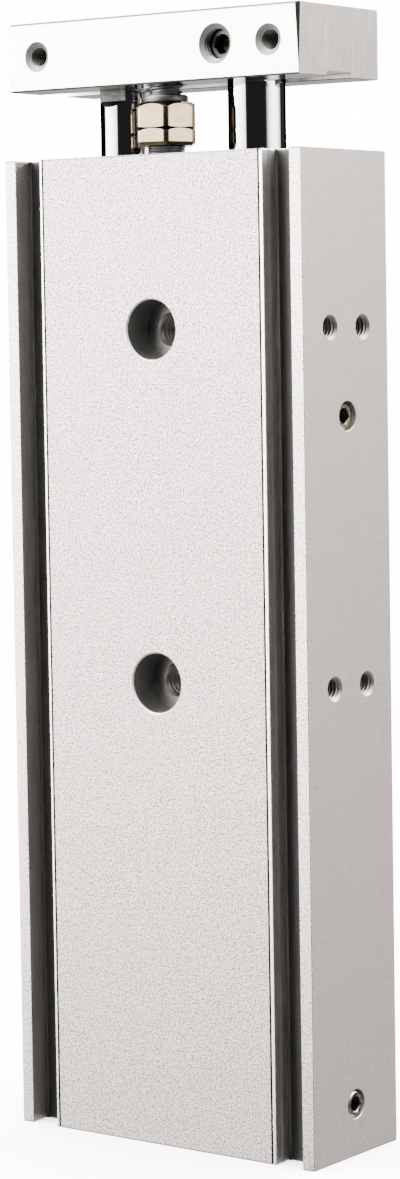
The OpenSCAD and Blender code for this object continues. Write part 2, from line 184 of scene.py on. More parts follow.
def helix(name, r_low, r_high, pitch, z0, z1, segs=36, flats=(0.125, 0.25), mats=(), place=None, cap=None):
    """A closed round bar with a right-hand thread from z0 to z1 that fades out at both ends.
    r_low and r_high are the radii of the root and the crest; flats are the crest's and the root's share of the pitch."""
    crest, root = flats
    flank = (1 - crest - root) / 2
    prof = [(0.0, 0.0), (root, 0.0), (root + flank, 1.0), (root + flank + crest, 1.0)]
    m = len(prof)
    turns = max(1, int((z1 - z0) / pitch + 1e-6) - 1)
    n = turns * segs
    base = z0 + ((z1 - z0) - pitch * (turns + 1)) / 2
    verts = []
    for k in range(n + 1):
        th = 2 * math.pi * k / segs
        grow = min(1.0, k / (segs * 0.5), (n - k) / (segs * 0.5))
        for f, h in prof:
            r = r_low + (r_high - r_low) * h * grow
            verts.append((r * math.cos(th), r * math.sin(th), base + pitch * (k / segs + f)))
    top0 = len(verts)
    for k in range(n - segs + 1, n + 1):
        th = 2 * math.pi * k / segs
        verts.append((r_low * math.cos(th), r_low * math.sin(th), base + pitch * (k / segs + 1)))

    def up(k, i):
        if i < m:
            return k * m + i
        return (k + segs) * m if k + segs <= n else top0 + (k - (n - segs + 1))

    faces = [(up(k, i), up(k + 1, i), up(k + 1, i + 1), up(k, i + 1)) for k in range(n) for i in range(m)]
    zf, zh = (z0, z1) if cap is None else cap
    foot = len(verts)
    verts += [(r_low * math.cos(2 * math.pi * i / segs), r_low * math.sin(2 * math.pi * i / segs), zf)
              for i in range(segs)]
    head = len(verts)
    verts += [(r_low * math.cos(2 * math.pi * i / segs), r_low * math.sin(2 * math.pi * i / segs), zh)
              for i in range(segs)]
    faces += [(foot + i, foot + i + 1, up(i + 1, 0), up(i, 0)) for i in range(segs - 1)]
    faces.append(tuple([foot + segs - 1, foot] + [up(0, i) for i in range(m + 1)] + [up(segs - 1, 0)]))
    k0 = n - segs
    faces.append(tuple([up(k0, m), up(k0 + 1, m), head + 1, head] + [up(n, i) for i in range(m, 0, -1)]))
    faces += [(up(k0 + i, m), up(k0 + i + 1, m), head + i + 1, head + i) for i in range(1, segs - 1)]
    faces.append((up(n - 1, m), up(n, m), head, head + segs - 1))
    faces.append(tuple(reversed(range(foot, foot + segs))))
    faces.append(tuple(range(head, head + segs)))
    if place is not None:
        verts = [tuple(place @ Vector(v)) for v in verts]
    return mesh_object(name, verts, faces, mats)


def at(x, y, z, axis="+Z"):
    """A turn and a move that takes +Z to the given axis, with no mirroring."""
    turn = {"+Z": Matrix.Identity(4), "-Z": Matrix.Rotation(math.pi, 4, "X"),
            "+X": Matrix.Rotation(math.pi / 2, 4, "Y"), "-X": Matrix.Rotation(-math.pi / 2, 4, "Y"),
            "-Y": Matrix.Rotation(math.pi / 2, 4, "X"), "+Y": Matrix.Rotation(-math.pi / 2, 4, "X")}[axis]
    return Matrix.Translation((x, y, z)) @ turn


def cut(ob, cutters, weld=0.0015):
    """Subtract closed shapes from a closed shape."""
    bag = bpy.data.collections.new("cut")
    bpy.context.scene.collection.children.link(bag)
    for c in cutters:
        bag.objects.link(c)
    mod = ob.modifiers.new("cut", "BOOLEAN")
    mod.operation = "DIFFERENCE"
    mod.operand_type = "COLLECTION"
    mod.collection = bag
    mod.solver = "EXACT"
    baked(ob)
    if weld:
        welded(ob, weld)
    for c in cutters:
        drop(c)
    bpy.data.collections.remove(bag)
    return ob


def joined(ob, others, how="UNION"):
    for o in others:
        mod = ob.modifiers.new("join", "BOOLEAN")
        mod.operation = how
        mod.object = o
        mod.solver = "EXACT"
        welded(baked(ob), 0.0015)
        drop(o)
    return ob


def bevelled(ob, width, segs=2, angle=30, weight=False):
    mod = ob.modifiers.new("bevel", "BEVEL")
    mod.width = width * MM
    mod.segments = segs
    mod.limit_method = "ANGLE"
    mod.angle_limit = math.radians(angle)
    mod.use_clamp_overlap = False
    mod.miter_outer = "MITER_ARC"
    return baked(ob)


def welded(ob, d=0.0005):
    bm = bmesh.new()
    bm.from_mesh(ob.data)
    bmesh.ops.remove_doubles(bm, verts=bm.verts, dist=d * MM)
    bmesh.ops.dissolve_degenerate(bm, edges=bm.edges, dist=d * MM)
    loose = [e for e in bm.edges if e.is_boundary]
    if 0 < len(loose) < 40:
        bmesh.ops.holes_fill(bm, edges=loose, sides=12)
    bm.to_mesh(ob.data)
    bm.free()
    return ob


def smooth(ob, angle=32):
    me = ob.data
    me.polygons.foreach_set("use_smooth", [True] * len(me.polygons))
    me.set_sharp_from_angle(angle=math.radians(angle))
    mod = ob.modifiers.new("normals", "WEIGHTED_NORMAL")
    mod.mode = "FACE_AREA_WITH_ANGLE"
    mod.weight = 100
    mod.keep_sharp = True
    return ob


def open_edges(ob):
    bm = bmesh.new()
    bm.from_mesh(ob.data)
    n = sum(1 for e in bm.edges if e.is_boundary), sum(1 for e in bm.edges if len(e.link_faces) > 2)
    bm.free()
    return n


# ------------------------------------------------------------------ materials
class Shader:
    """A material with one Principled shader and object-space texture coordinates, in millimetres."""

    def __init__(self, name, **sockets):
        self.mat = bpy.data.materials.new(name)
        self.mat.use_nodes = True
        self.nt = self.mat.node_tree
        self.nt.nodes.clear()
        self.out = self.nt.nodes.new("ShaderNodeOutputMaterial")
        self.bsdf = self.nt.nodes.new("ShaderNodeBsdfPrincipled")
        self.nt.links.new(self.bsdf.outputs[0], self.out.inputs[0])
        for k, v in sockets.items():
            s = self.bsdf.inputs[k.replace("_", " ")]
            s.default_value = (*v, 1.0) if isinstance(v, tuple) and len(v) == 3 else v
        self.mat.diffuse_color = (*sockets.get("Base_Color", (0.5, 0.5, 0.5)), 1.0)

    def node(self, kind, **inputs):
        n = self.nt.nodes.new(kind)
        for k, v in inputs.items():
            self.put(n, k, v)
        return n

    def put(self, n, k, v):
        s = n.inputs[int(k[1:])] if k[0] == "_" and k[1:].isdigit() else n.inputs[k.replace("_", " ")]
        if isinstance(v, bpy.types.NodeSocket):
            self.nt.links.new(v, s)
        elif isinstance(v, tuple) and len(v) == 3 and s.type == "RGBA":
            s.default_value = (*v, 1.0)
        else:
            s.default_value = v

    def coords(self, sx=1.0, sy=1.0, sz=1.0):
        tc = self.node("ShaderNodeTexCoord")
        mp = self.node("ShaderNodeMapping", Vector=tc.outputs["Object"], Scale=(1000 * sx, 1000 * sy, 1000 * sz))
        return mp.outputs[0]

    def noise(self, vec, scale, detail=2.0, rough=0.5, distort=0.0):
        n = self.node("ShaderNodeTexNoise", Vector=vec, Scale=scale, Detail=detail, Roughness=rough, Distortion=distort)
        return n.outputs["Fac"]

    def ramp(self, fac, stops):
        n = self.node("ShaderNodeValToRGB", Fac=fac)
        el = n.color_ramp.elements
        while len(el) < len(stops):
            el.new(0.5)
        for e, (p, c) in zip(el, stops):
            e.position = p
            e.color = (*c, 1.0) if isinstance(c, tuple) else (c, c, c, 1.0)
        return n.outputs["Color"]

    def mix(self, fac, a, b, blend="MIX"):
        n = self.nt.nodes.new("ShaderNodeMix")
        n.data_type = "RGBA"
        n.blend_type = blend
        for i, v in ((0, fac), (6, a), (7, b)):
            if isinstance(v, bpy.types.NodeSocket):
                self.nt.links.new(v, n.inputs[i])
            elif isinstance(v, tuple):
                n.inputs[i].default_value = (*v, 1.0)
            else:
                n.inputs[i].default_value = v
        return n.outputs[2]

    def math(self, op, a, b=0.0, c=0.0):
        n = self.nt.nodes.new("ShaderNodeMath")
        n.operation = op
        for i, v in enumerate((a, b, c)):
            if isinstance(v, bpy.types.NodeSocket):
                self.nt.links.new(v, n.inputs[i])
            else:
                n.inputs[i].default_value = v
        return n.outputs[0]

    def span(self, v, lo, hi, to_lo, to_hi):
        n = self.node("ShaderNodeMapRange", Value=v)
        for k, x in (("From Min", lo), ("From Max", hi), ("To Min", to_lo), ("To Max", to_hi)):
            n.inputs[k].default_value = x
        return n.outputs[0]

    def color(self, v):
        self.put(self.bsdf, "Base Color", v)

    def rough(self, v):
        self.put(self.bsdf, "Roughness", v)

    def bump(self, height, strength, distance_mm, normal=None):
        n = self.node("ShaderNodeBump", Height=height, Strength=strength, Distance=distance_mm * MM)
        if normal is not None:
            self.put(n, "Normal", normal)
        self.put(self.bsdf, "Normal", n.outputs[0])
        return n.outputs[0]


def blasted(name, lo, hi, rough=(0.40, 0.56), grain=1.0):
    """Clear-anodised aluminium with a blasted grain."""
    s = Shader(name, Metallic=1.0, Base_Color=hi)
    v = s.coords()
    fine = s.noise(v, 3.3, 2.0, 0.6)
    cloud = s.noise(v, 0.10, 3.0, 0.55)
    c = s.ramp(fine, [(0.38, lo), (0.59, hi)])
    c = s.mix(s.span(cloud, 0.3, 0.7, 0.0, 0.10), c, (0.52, 0.46, 0.44), "MIX")
    s.color(c)
    s.rough(s.span(fine, 0.3, 0.7, rough[1], rough[0]))
    s.bump(s.math("ADD", fine, s.math("MULTIPLY", s.noise(v, 5.5, 1.0), 0.5)), 0.45 * grain, 0.03)
    return s.mat


def brushed(name, base, rough, lines, axis, depth=0.2, spread=0.06):
    """Machined aluminium or steel with fine lines. axis is the line direction in object space."""
    s = Shader(name, Metallic=1.0, Base_Color=base)
    sc = {"X": (0.02, 1, 1), "Y": (1, 0.02, 1), "Z": (1, 1, 0.02)}[axis]
    v = s.coords(*sc)
    n1 = s.noise(v, lines, 3.0, 0.6)
    n2 = s.noise(s.coords(), 0.35, 3.0, 0.6)
    lo = tuple(max(0.0, c - spread) for c in base)
    hi = tuple(min(1.0, c + spread * 0.4) for c in base)
    c = s.mix(s.span(n1, 0.3, 0.7, 0.0, 1.0), lo, hi)
    c = s.mix(s.span(n2, 0.35, 0.7, 0.0, 0.3), c, lo)
    s.color(c)
    s.rough(s.span(n1, 0.3, 0.7, rough[1], rough[0]))
    s.bump(n1, depth, 0.01)
    return s.mat


def turned(name, base, rough, lines=6.0, depth=0.12, spread=0.05):
    """Smooth metal with a little clouding and faint turning marks."""
    s = Shader(name, Metallic=1.0, Base_Color=base)
    v = s.coords(0.15, 0.15, 1)
    n1 = s.noise(v, lines, 2.0, 0.5)
    n2 = s.noise(s.coords(), 0.5, 4.0, 0.6)
    lo = tuple(max(0.0, c - spread) for c in base)
    s.color(s.mix(s.span(n2, 0.35, 0.75, 0.0, 1.0), base, lo))
    s.rough(s.span(n1, 0.3, 0.7, rough[0], rough[1]))
    s.bump(n1, depth, 0.004)
    return s.mat


def chrome(name, face, limb_shade, rough):
    """Ground and hard-chromed steel, with painted shade that darkens it where it turns away from the view."""
    s = Shader(name, Metallic=1.0, Base_Color=face, Specular_Tint=limb_shade)
    w = s.node("ShaderNodeLayerWeight", Blend=0.5)
    n2 = s.noise(s.coords(), 0.4, 3.0, 0.6)
    # painted shade: the colour goes to the dark limb colour where the surface turns away
    c = s.mix(s.span(w.outputs["Facing"], 0.38, 0.50, 0.0, 1.0), face, limb_shade)
    c = s.mix(s.span(n2, 0.4, 0.75, 0.0, 0.06), c, (0.30, 0.30, 0.31))
    s.color(c)
    s.rough(s.span(s.noise(s.coords(0.2, 0.2, 1), 8.0), 0.3, 0.7, rough[0], rough[1]))
    s.bump(s.noise(s.coords(1, 1, 0.02), 3.0), 0.02, 0.004)
    return s.mat


def rubber(name, base, rough, spec=0.5):
    s = Shader(name, Base_Color=base, Specular_IOR_Level=spec)
    v = s.coords()
    n1 = s.noise(v, 1.5, 3.0, 0.6)
    hi = tuple(min(1.0, c * 1.6 + 0.004) for c in base)
    s.color(s.mix(s.span(n1, 0.35, 0.7, 0.0, 1.0), base, hi))
    s.rough(s.span(n1, 0.3, 0.7, rough[0], rough[1]))
    s.bump(n1, 0.1, 0.01)
    return s.mat


M_BODY = blasted("body_anodised", (0.125, 0.111, 0.107), (0.695, 0.615, 0.592), (0.34, 0.46), 1.3)
M_BORE = turned("bore_honed", (0.62, 0.61, 0.60), (0.18, 0.30))
M_GROOVE = brushed("groove_drawn", (0.56, 0.548, 0.537), (0.30, 0.40), 3.0, "Z", 0.04, 0.05)
# Painted shade: counterbore walls and the rod holes of the plate are made much darker than the body, for the shade
# inside them.
M_SEAT_SHADE = turned("counterbore_wall_painted_shade", (0.25, 0.244, 0.238), (0.50, 0.62), 9.0, 0.2, 0.05)
# Painted shade: the tapped threads in the holes and rods are made dark grey, for the shade inside the holes.
M_THREAD_SHADE = turned("thread_painted_shade", (0.27, 0.262, 0.252), (0.36, 0.48), 5.0, 0.15)
M_PLATE = brushed("plate_milled", (0.93, 0.92, 0.90), (0.16, 0.24), 2.0, "X", 0.03, 0.03)
# The plate's ends carry real sawing lines, with a base far darker than the front: painted shade, as the ends face away
# from the light.
M_PLATE_END_SHADE = brushed("plate_sawn_painted_shade", (0.40, 0.366, 0.352), (0.34, 0.50), 6.5, "Z", 0.6, 0.22)
# Painted shade: the underside of the plate is a darker copy of its milled face, for the shade under it.
M_PLATE_LOW_SHADE = brushed("plate_underside_painted_shade", (0.34, 0.335, 0.315), (0.12, 0.20), 2.0, "X", 0.04, 0.05)
M_COVER = turned("cover_turned", (0.66, 0.64, 0.60), (0.25, 0.38))
# The rod's second colour is the painted shade of its limbs.
M_ROD = chrome("rod_chrome", (0.52, 0.52, 0.535), (0.11, 0.11, 0.115), (0.03, 0.06))
M_FLAT = turned("rod_flat_milled", (0.078, 0.076, 0.074), (0.36, 0.55), 1.6, 0.9, 0.07)
M_NICKEL = turned("nickel_plate", (0.335, 0.247, 0.172), (0.16, 0.26), 3.0, 0.05, 0.03)
M_GREY = turned("washer_steel", (0.145, 0.145, 0.145), (0.42, 0.54), 3.0, 0.08, 0.03)
M_BLACK = turned("black_oxide", (0.05, 0.05, 0.055), (0.30, 0.45), 3.0, 0.1, 0.02)
M_CHANNEL = brushed("plate_channel", (0.86, 0.85, 0.83), (0.26, 0.38), 2.0, "X", 0.06, 0.06)
# Painted shade: the sloping run-out under the rod's flats is made near-black, a dark band under the plate.
M_RUNOUT_SHADE = turned("rod_runout_painted_shade", (0.06, 0.058, 0.056), (0.30, 0.45), 4.0, 0.3, 0.03)
# Painted shade: the chamfers and end faces of the nut and bolt head are a dark copy of the nickel plating.
M_NICKEL_CHAMFER_SHADE = turned("nickel_chamfer_painted_shade", (0.11, 0.09, 0.07), (0.14, 0.24), 5.0, 0.10, 0.03)
# Painted shade: the underside of the bolt head is a near-black copy of the nickel.
M_NICKEL_LOW_SHADE = turned("nickel_underside_painted_shade", (0.050, 0.042, 0.022), (0.30, 0.42), 4.0, 0.10, 0.015)
M_NICKEL_PLUG = turned("nickel_plug", (0.45, 0.40, 0.34), (0.16, 0.28), 6.0, 0.12, 0.08)
# Painted shade: the bolt's thread and the nut's bore are darkened far below the nickel.
M_BOLT_THREAD_SHADE = turned("bolt_thread_painted_shade", (0.12, 0.11, 0.10), (0.22, 0.34), 5.0, 0.10, 0.04)
# Painted shade: the hex sockets are made near-black, for the shade inside them.
M_SOCKET_SHADE = turned("socket_painted_shade", (0.10, 0.085, 0.06), (0.30, 0.45), 4.0, 0.2, 0.03)
M_END = brushed("body_end_cut", (0.62, 0.61, 0.60), (0.30, 0.44), 1.6, "X", 0.35, 0.08)
# Painted light: a lighter copy of the body's anodising for the outer strips of the front face.
M_LAND_LIT = blasted("land_anodised_painted_light", (0.25, 0.224, 0.212), (0.88, 0.785, 0.75), (0.22, 0.32))
# Painted shade: near-black for the score lines and for the corners at the groove floors.
M_SCORE_SHADE = brushed("score_line_painted_shade", (0.055, 0.053, 0.05), (0.34, 0.45), 3.0, "Z", 0.1, 0.02)
# Painted shade: the countersinks of the plate are made mid-grey against the near-white plate, for the shade in them.
M_SINK_SHADE = turned("countersink_painted_shade", (0.30, 0.295, 0.285), (0.50, 0.60), 6.0, 0.1, 0.06)
# Painted shade: the edge breaks along the plate's front are made dark, a dark line under its front edge.
M_EDGE_SHADE = brushed("plate_edge_break_painted_shade", (0.13, 0.13, 0.125), (0.40, 0.50), 2.0, "X", 0.1, 0.03)
# Painted shade: the bevelled front corners of the plate are made near-black.
M_BEVEL_SHADE = brushed("plate_bevel_painted_shade", (0.05, 0.05, 0.046), (0.36, 0.46), 2.0, "Z", 0.1, 0.02)
# Painted shade: the stretch of the bolt between washer and plate is a dark grey.
M_SHANK_SHADE = turned("bolt_shank_painted_shade", (0.20, 0.20, 0.20), (0.50, 0.60), 5.0, 0.10, 0.03)
# Painted highlight: a bright strip along the front between each score line and its groove.
M_LIP_HIGHLIGHT = brushed("lip_painted_highlight", (0.93, 0.91, 0.88), (0.20, 0.28), 3.0, "Z", 0.05, 0.04)
# Painted shade: the edge breaks of the body are made dark, to draw a dark line along its edges.
M_RIM_SHADE = brushed("body_edge_break_painted_shade", (0.17, 0.165, 0.16), (0.36, 0.48), 3.0, "X", 0.1, 0.03)
# Painted shade: the counterbore seats are darkened the same way.
M_RING_SHADE = turned("counterbore_seat_painted_shade", (0.25, 0.244, 0.238), (0.36, 0.48), 9.0, 0.2, 0.06)
# Painted shade: the side faces get a darker copy of the body's anodising, for the light that falls less on them.
M_SIDE_SHADE = blasted("side_anodised_painted_shade", (0.325, 0.288, 0.276), (0.495, 0.438, 0.420), (0.36, 0.46), 0.6)
# Painted shade: the floors of the sensor grooves are made near-black, for the shade deep in the grooves.
M_FLOOR_SHADE = brushed("groove_floor_painted_shade", (0.105, 0.103, 0.10), (0.34, 0.44), 3.0, "Z", 0.03, 0.02)
# Painted highlight: the chamfers round the counterbore mouths are made near-white, a bright ring round each hole.
M_MOUTH_HIGHLIGHT = turned("hole_mouth_painted_highlight", (0.95, 0.94, 0.92), (0.45, 0.58), 6.0, 0.1, 0.05)
M_NITRILE = rubber("nitrile", (0.012, 0.012, 0.012), (0.45, 0.6))
M_TIP = rubber("stop_rubber", (0.010, 0.010, 0.010), (0.10, 0.18), 0.18)
M_URETHANE = rubber("urethane", (0.62, 0.36, 0.10), (0.30, 0.42))
M_MAGNET = rubber("magnet_compound", (0.05, 0.045, 0.04), (0.45, 0.6))


def dress(node, mat):
    ob = NODES[node]
    ob.data.materials.clear()
    ob.data.materials.append(mat)


for n in NODES:
    if n.endswith(("oring_a", "oring_b", "seal_a", "seal_b")):
        dress(n, M_NITRILE)
    elif "retaining_ring" in n or n in ("piston_screws", "plate_cap_screw", "rod_lock_screw"):
        dress(n, M_BLACK)
    elif n.startswith(("rod_cover", "head_cover")) or n in ("piston_a", "piston_b"):
        dress(n, M_COVER)
    elif n.startswith("seal_retainer"):
        dress(n, M_GREY)
    elif n.startswith("piston_magnet"):
        dress(n, M_MAGNET)
    elif n.startswith(("rod_end_bumper", "head_end_bumper")):
        dress(n, M_URETHANE)

# ------------------------------------------------------------------ the body
def groove_wall(x, s, bead):
    """Points from the front face down to the groove's floor; s = 1 where the metal is on the -X side."""
    p = [(x, -HD), (x, -HD + 0.5), (x - s * 0.16, -HD + 0.62)]
    if bead:
        p += [(x - s * 0.16, -HD + 1.80), (x + s * 0.03, -HD + 1.96), (x + s * 0.03, -HD + 2.2), (x - s * 0.16, -HD + 2.36)]
    p += [(x - s * 0.16, -HD + GD - 0.36), (x + s * 0.2, -HD + GD)]
    return p


def half(score):
    front = [(score - 0.2, -HD), (score, -HD + 0.27), (score + 0.2, -HD)]
    pts = front + groove_wall(GI, 1, True) + list(reversed(groove_wall(GO, -1, False)))
    pts += [(HW, -HD), (HW, HD)]
    return pts


right = half(GI - 0.83)
left = [(-x, y) for x, y in reversed(half(GI - 0.63))]
outline = right + left
radii = []
for x, y in outline:
    if abs(abs(x) - HW) < 1e-6 and y > 0:
        radii.append(0.5)
    elif abs(abs(x) - HW) < 1e-6:
        radii.append(0.14)
    elif abs(y + HD) < 1e-6 and (abs(abs(x) - GI) < 1e-6 or abs(abs(x) - GO) < 1e-6):
        radii.append(0.10)
    else:
        radii.append(0.0)
outline = fillet(outline, radii, 4)
housing = prism("housing_look", outline, [(0, 0.09), (0.12, 0.03), (0.24, 0), (L - 0.24, 0), (L - 0.12, 0.03), (L, 0.09)])


def bore_tool(x):
    p = [(0, -1), (11.4, -1), (10.0, 0.4), (10.0, 2.0), (10.6, 2.0), (10.6, 3.25), (10.0, 3.25),
         (10.0, 169.35), (10.6, 169.35), (10.6, 170.6), (10.0, 170.6), (10.0, L - 0.4), (11.4, L + 1), (0, L + 1)]
    return lathe("t", p, 96, place=at(x, 0, 0))


def tapped(face, depth, r_major, r_minor, pitch, mouth, axis, drill=None, segs=36, thread_to=None):
    """Cutters of a blind tapped hole. face is the centre of its mouth; the hole runs against axis."""
    place = at(*face, axis)
    drill = depth if drill is None else drill
    tip = r_minor / math.tan(math.radians(59))
    bore = lathe("t", [(0, 1), (mouth + 1, 1), (r_minor, r_minor - mouth), (r_minor, -drill), (0, -drill - tip)][::-1],
                 48, place=place)
    bar = helix("t", r_minor - 0.02, r_major, pitch, -depth, pitch * 1.6, segs, place=place,
                cap=(-depth - 0.01, pitch * 1.6 + 0.4))
    return [bore, bar]


tools = [bore_tool(XA), bore_tool(XB)]
threads = []
for z in ROWS:
    # counterbores on both faces with a threaded hole between them
    for s, axis in ((-1, "-Y"), (1, "+Y")):
        p = [(0, 1), (5.2 + 0.24 + 1, 1), (5.2, -0.24), (5.2, -5.9), (2.95, -5.9), (2.5, -6.35), (2.5, -14), (0, -14)]
        tools.append(lathe("t", p[::-1], 96, place=at(0, s * HD, z, axis)))
    threads.append(helix("t", 2.48, 3.0, 1.0, -7.4, 7.4, 48, place=at(0, 0, z, "-Y"), cap=(-8.4, 8.4)))
for s, axis in ((1, "+X"), (-1, "-X")):
    for z in ROWS:
        for y in (-4.85, 4.85):
            b, t = tapped((s * HW, y, z), 5.6, 2.0, 1.64, 0.7, 2.2, axis, drill=6.3)
            tools.append(b)
            threads.append(t)
    for z in PORTS:
        if s > 0:
            p = [(0, 1), (2.62 + 1, 1), (2.5, -0.12), (2.5, -5.5), (1.25, -6.2), (1.25, -60), (0, -60)]
            tools.append(lathe("t", p[::-1], 64, place=at(s * HW, 0, z, axis)))
        else:
            b, t = tapped((s * HW, 0, z), 4.9, 2.5, 2.1, 0.8, 2.66, axis, drill=5.4)
            tools.append(b)
            threads.append(t)
cut(housing, tools, 0)
print("housing", len(housing.data.polygons), "open", open_edges(housing))
cut(housing, threads, 0)
print("housing with threads", len(housing.data.polygons), "open", open_edges(housing))
welded(housing)
print("welded", len(housing.data.polygons), "open", open_edges(housing))


def housing_rule(x, y, z, n):
    if z < 0.03 or z > L - 0.03:
        return 5
    # edge breaks at both ends and down the front corners are painted dark, painted shade
    if (z > L - 0.23 or z < 0.23) and abs(n.z) > 0.1 and max(abs(x) - HW, abs(y) - HD) > -0.15:
        return 10
    if abs(x) > HW - 0.16 and y < -HD + 0.16 and min(abs(n.x), abs(n.y)) > 0.2:
        return 10
    # score lines are painted dark, painted shade in the crease
    if y < -HD + 0.25 and abs(n.x) > 0.3 and 22.9 < abs(x) < 23.9:
        return 7
    # outer strips and groove lips of the front take lighter copies, painted light
    if y < -HD + 0.02 and GO - 0.2 < abs(x) < HW - 0.02:
        return 6
    if y < -HD + 0.12 and 23.5 < abs(x) < GI + 0.12:
        return 9
    # the corners at the bottom of the grooves are painted dark too, painted shade
    if y > -HD + GD - 0.4 and 0.3 < abs(n.x) < 0.95 and y < -HD + GD and 23.7 < abs(x) < 30.0:
        return 7
    # the side faces take the darker copy of the anodising, painted shade
    if abs(x) > HW - 0.02:
        return 11
    if abs(y) > HD - 0.02:
        return 0
    if min(math.hypot(x - XA, y), math.hypot(x - XB, y)) < 10.8 and abs(x) < 25:
        return 1
    # holes and threads below take darker materials: painted shade in the recesses
    for h in ROWS:
        if abs(x) < 5.6 and math.hypot(x, z - h) < 5.6:
            r = math.hypot(x, z - h)
            # the mouth chamfers take the near-white painted highlight
            if abs(y) > HD - 0.25 and 0.2 < abs(n.y) < 0.96:
                return 12
            # counterbore walls and seats take the darker painted-shade materials
            if abs(y) > 6.7 and r > 3.1:
                return 8 if abs(n.y) > 0.9 else 3
            return 4
        if abs(x) > 25 and math.hypot(abs(y) - 4.85, z - h) < 2.4:
            return 4
    for h in PORTS:
        if math.hypot(y, z - h) < 2.8:
            return 4
    # groove walls; the groove floors take the near-black painted shade
    if 23.7 < abs(x) < 30.0 and y < -8.3 and y > -HD + 0.05:
        return 13 if abs(n.y) > 0.95 else 2
    return 0


me = housing.data
for m in (M_BODY, M_BORE, M_GROOVE, M_SEAT_SHADE, M_THREAD_SHADE, M_END, M_LAND_LIT, M_SCORE_SHADE, M_RING_SHADE, M_LIP_HIGHLIGHT, M_RIM_SHADE, M_SIDE_SHADE, M_MOUTH_HIGHLIGHT, M_FLOOR_SHADE):
    me.materials.append(m)
for p in me.polygons:
    c = p.center * 1000
    p.material_index = housing_rule(c.x, c.y, c.z, p.normal)
smooth(housing, 30)
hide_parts("housing")
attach(housing, "body")

# ------------------------------------------------------------------ helpers for the smaller pieces
def block(x0, x1, y0, y1, z0, z1, place=None):
    return prism("t", [(x0, y0), (x1, y0), (x1, y1), (x0, y1)], [(z0, 0), (z1, 0)], place=place)


def painted(ob, mats, rule):
    """Give each face one of the materials by a rule on its centre, in millimetres, and its normal."""
    me = ob.data
    me.materials.clear()
    for m in mats:
        me.materials.append(m)
    for p in me.polygons:
        c = p.center * 1000
        p.material_index = rule(c.x, c.y, c.z, p.normal)
    return ob


def piece(ob, node, body, angle=30, name=None):
    welded(ob)
    ob.name = name or node + "_look"
    n = open_edges(ob)
    print(ob.name, "faces", len(ob.data.polygons), "open", n)
    smooth(ob, angle)
    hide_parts(node)
    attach(ob, body)
    return ob


def hexagon(af, turn=0.0, r=0.0, n=4):
    R = af / 2 / math.cos(math.radians(30))
    pts = [(R * math.cos(math.radians(turn + 60 * i)), R * math.sin(math.radians(turn + 60 * i))) for i in range(6)]
    return fillet(pts, r, n) if r else pts


def off_axis(place, x, y):
    return place @ Matrix.Translation((x, y, 0))


# ------------------------------------------------------------------ the end plate
def plate_section():
    c, w, h, t = 0.25, 3.7, PD, PZ1 - PZ0
    pts = [(-h, 0), (-w, 0), (-w, 0.9), (w, 0.9), (w, 0), (h, 0), (h, t), (-h, t)]
    return fillet(pts, [0.3, 0.13, 0.12, 0.12, 0.13, 0.2, 0.3, 0.42], 1)


turn_x = Matrix(((0, 0, 1, 0), (1, 0, 0, 0), (0, 1, 0, 0), (0, 0, 0, 1)))
plate = prism("end_plate_look", plate_section(),
              [(-PW, 0.10), (-PW + 0.03, 0.03), (-PW + 0.1, 0), (PW - 0.1, 0), (PW - 0.03, 0.03), (PW, 0.10)],
              place=Matrix.Translation((0, 0, PZ0)) @ turn_x)
corner = Matrix.Translation((PW, -PD, PZ1)) @ Matrix.Rotation(math.radians(45), 4, "Z") @ Matrix.Rotation(math.radians(-2.2), 4, "X")
tools = [block(-2, 2, -1.6, 0.46, -14, 2, corner)]
tools.append(lathe("t", [(0, PZ0 - 1), (6.2, PZ0 - 1), (5.02, PZ0 + 0.2), (5.02, PZ0 + 3.6), (3.2, PZ0 + 3.6), (3.2, 189.9),
                         (5.3, 189.9), (5.3, PZ1 - 0.3), (6.4, PZ1 + 0.8), (0, PZ1 + 0.8)], 72, place=at(XA, 0, 0)))
tools.append(lathe("t", [(0, PZ0 - 1), (6.2, PZ0 - 1), (5.02, PZ0 + 0.2), (5.02, 194.6), (0, 194.6)], 72, place=at(XB, 0, 0)))
# hole of the lock screw: broad countersink, thread, then the plain stretch that holds the screw
tools.append(lathe("t", [(0, 1), (4.6, 1), (3.38, -0.04), (2.55, -0.62), (2.55, -2.2), (3.01, -2.2), (3.01, -7.5), (0, -7.5)][::-1], 64,
                   place=at(XB, -PD, HOLE_Z, "-Y")))
threads = [helix("t", 2.53, 3.02, 1.0, -3.0, 2.0, 48, place=at(XB, -PD, HOLE_Z, "-Y"), cap=(-3.4, 2.6))]
for s, axis in ((-1, "-Y"), (1, "+Y")):
    for x in (-25.0, 25.0):
        tools.append(lathe("t", [(0, 1), (3.9, 1), (2.65, -0.02), (1.68, -0.62), (1.68, -6.0), (0, -7.0)][::-1], 48,
                           place=at(x, s * PD, HOLE_Z, axis)))
        threads.append(helix("t", 1.66, 2.04, 0.7, -5.6, 1.3, 40, place=at(x, s * PD, HOLE_Z, axis), cap=(-5.62, 1.8)))
for x in (-25.0, 25.0):
    tools.append(lathe("t", [(0, PZ0 - 1), (3.6, PZ0 - 1), (2.13, PZ0 + 0.47), (2.13, PZ1 - 0.77), (3.9, PZ1 + 1), (0, PZ1 + 1)], 48,
                       place=at(x, 0, 0)))
    threads.append(helix("t", 2.1, 2.52, 0.8, PZ0 - 1.4, PZ1 + 1.4, 40, place=at(x, 0, 0), cap=(PZ0 - 2, PZ1 + 2)))
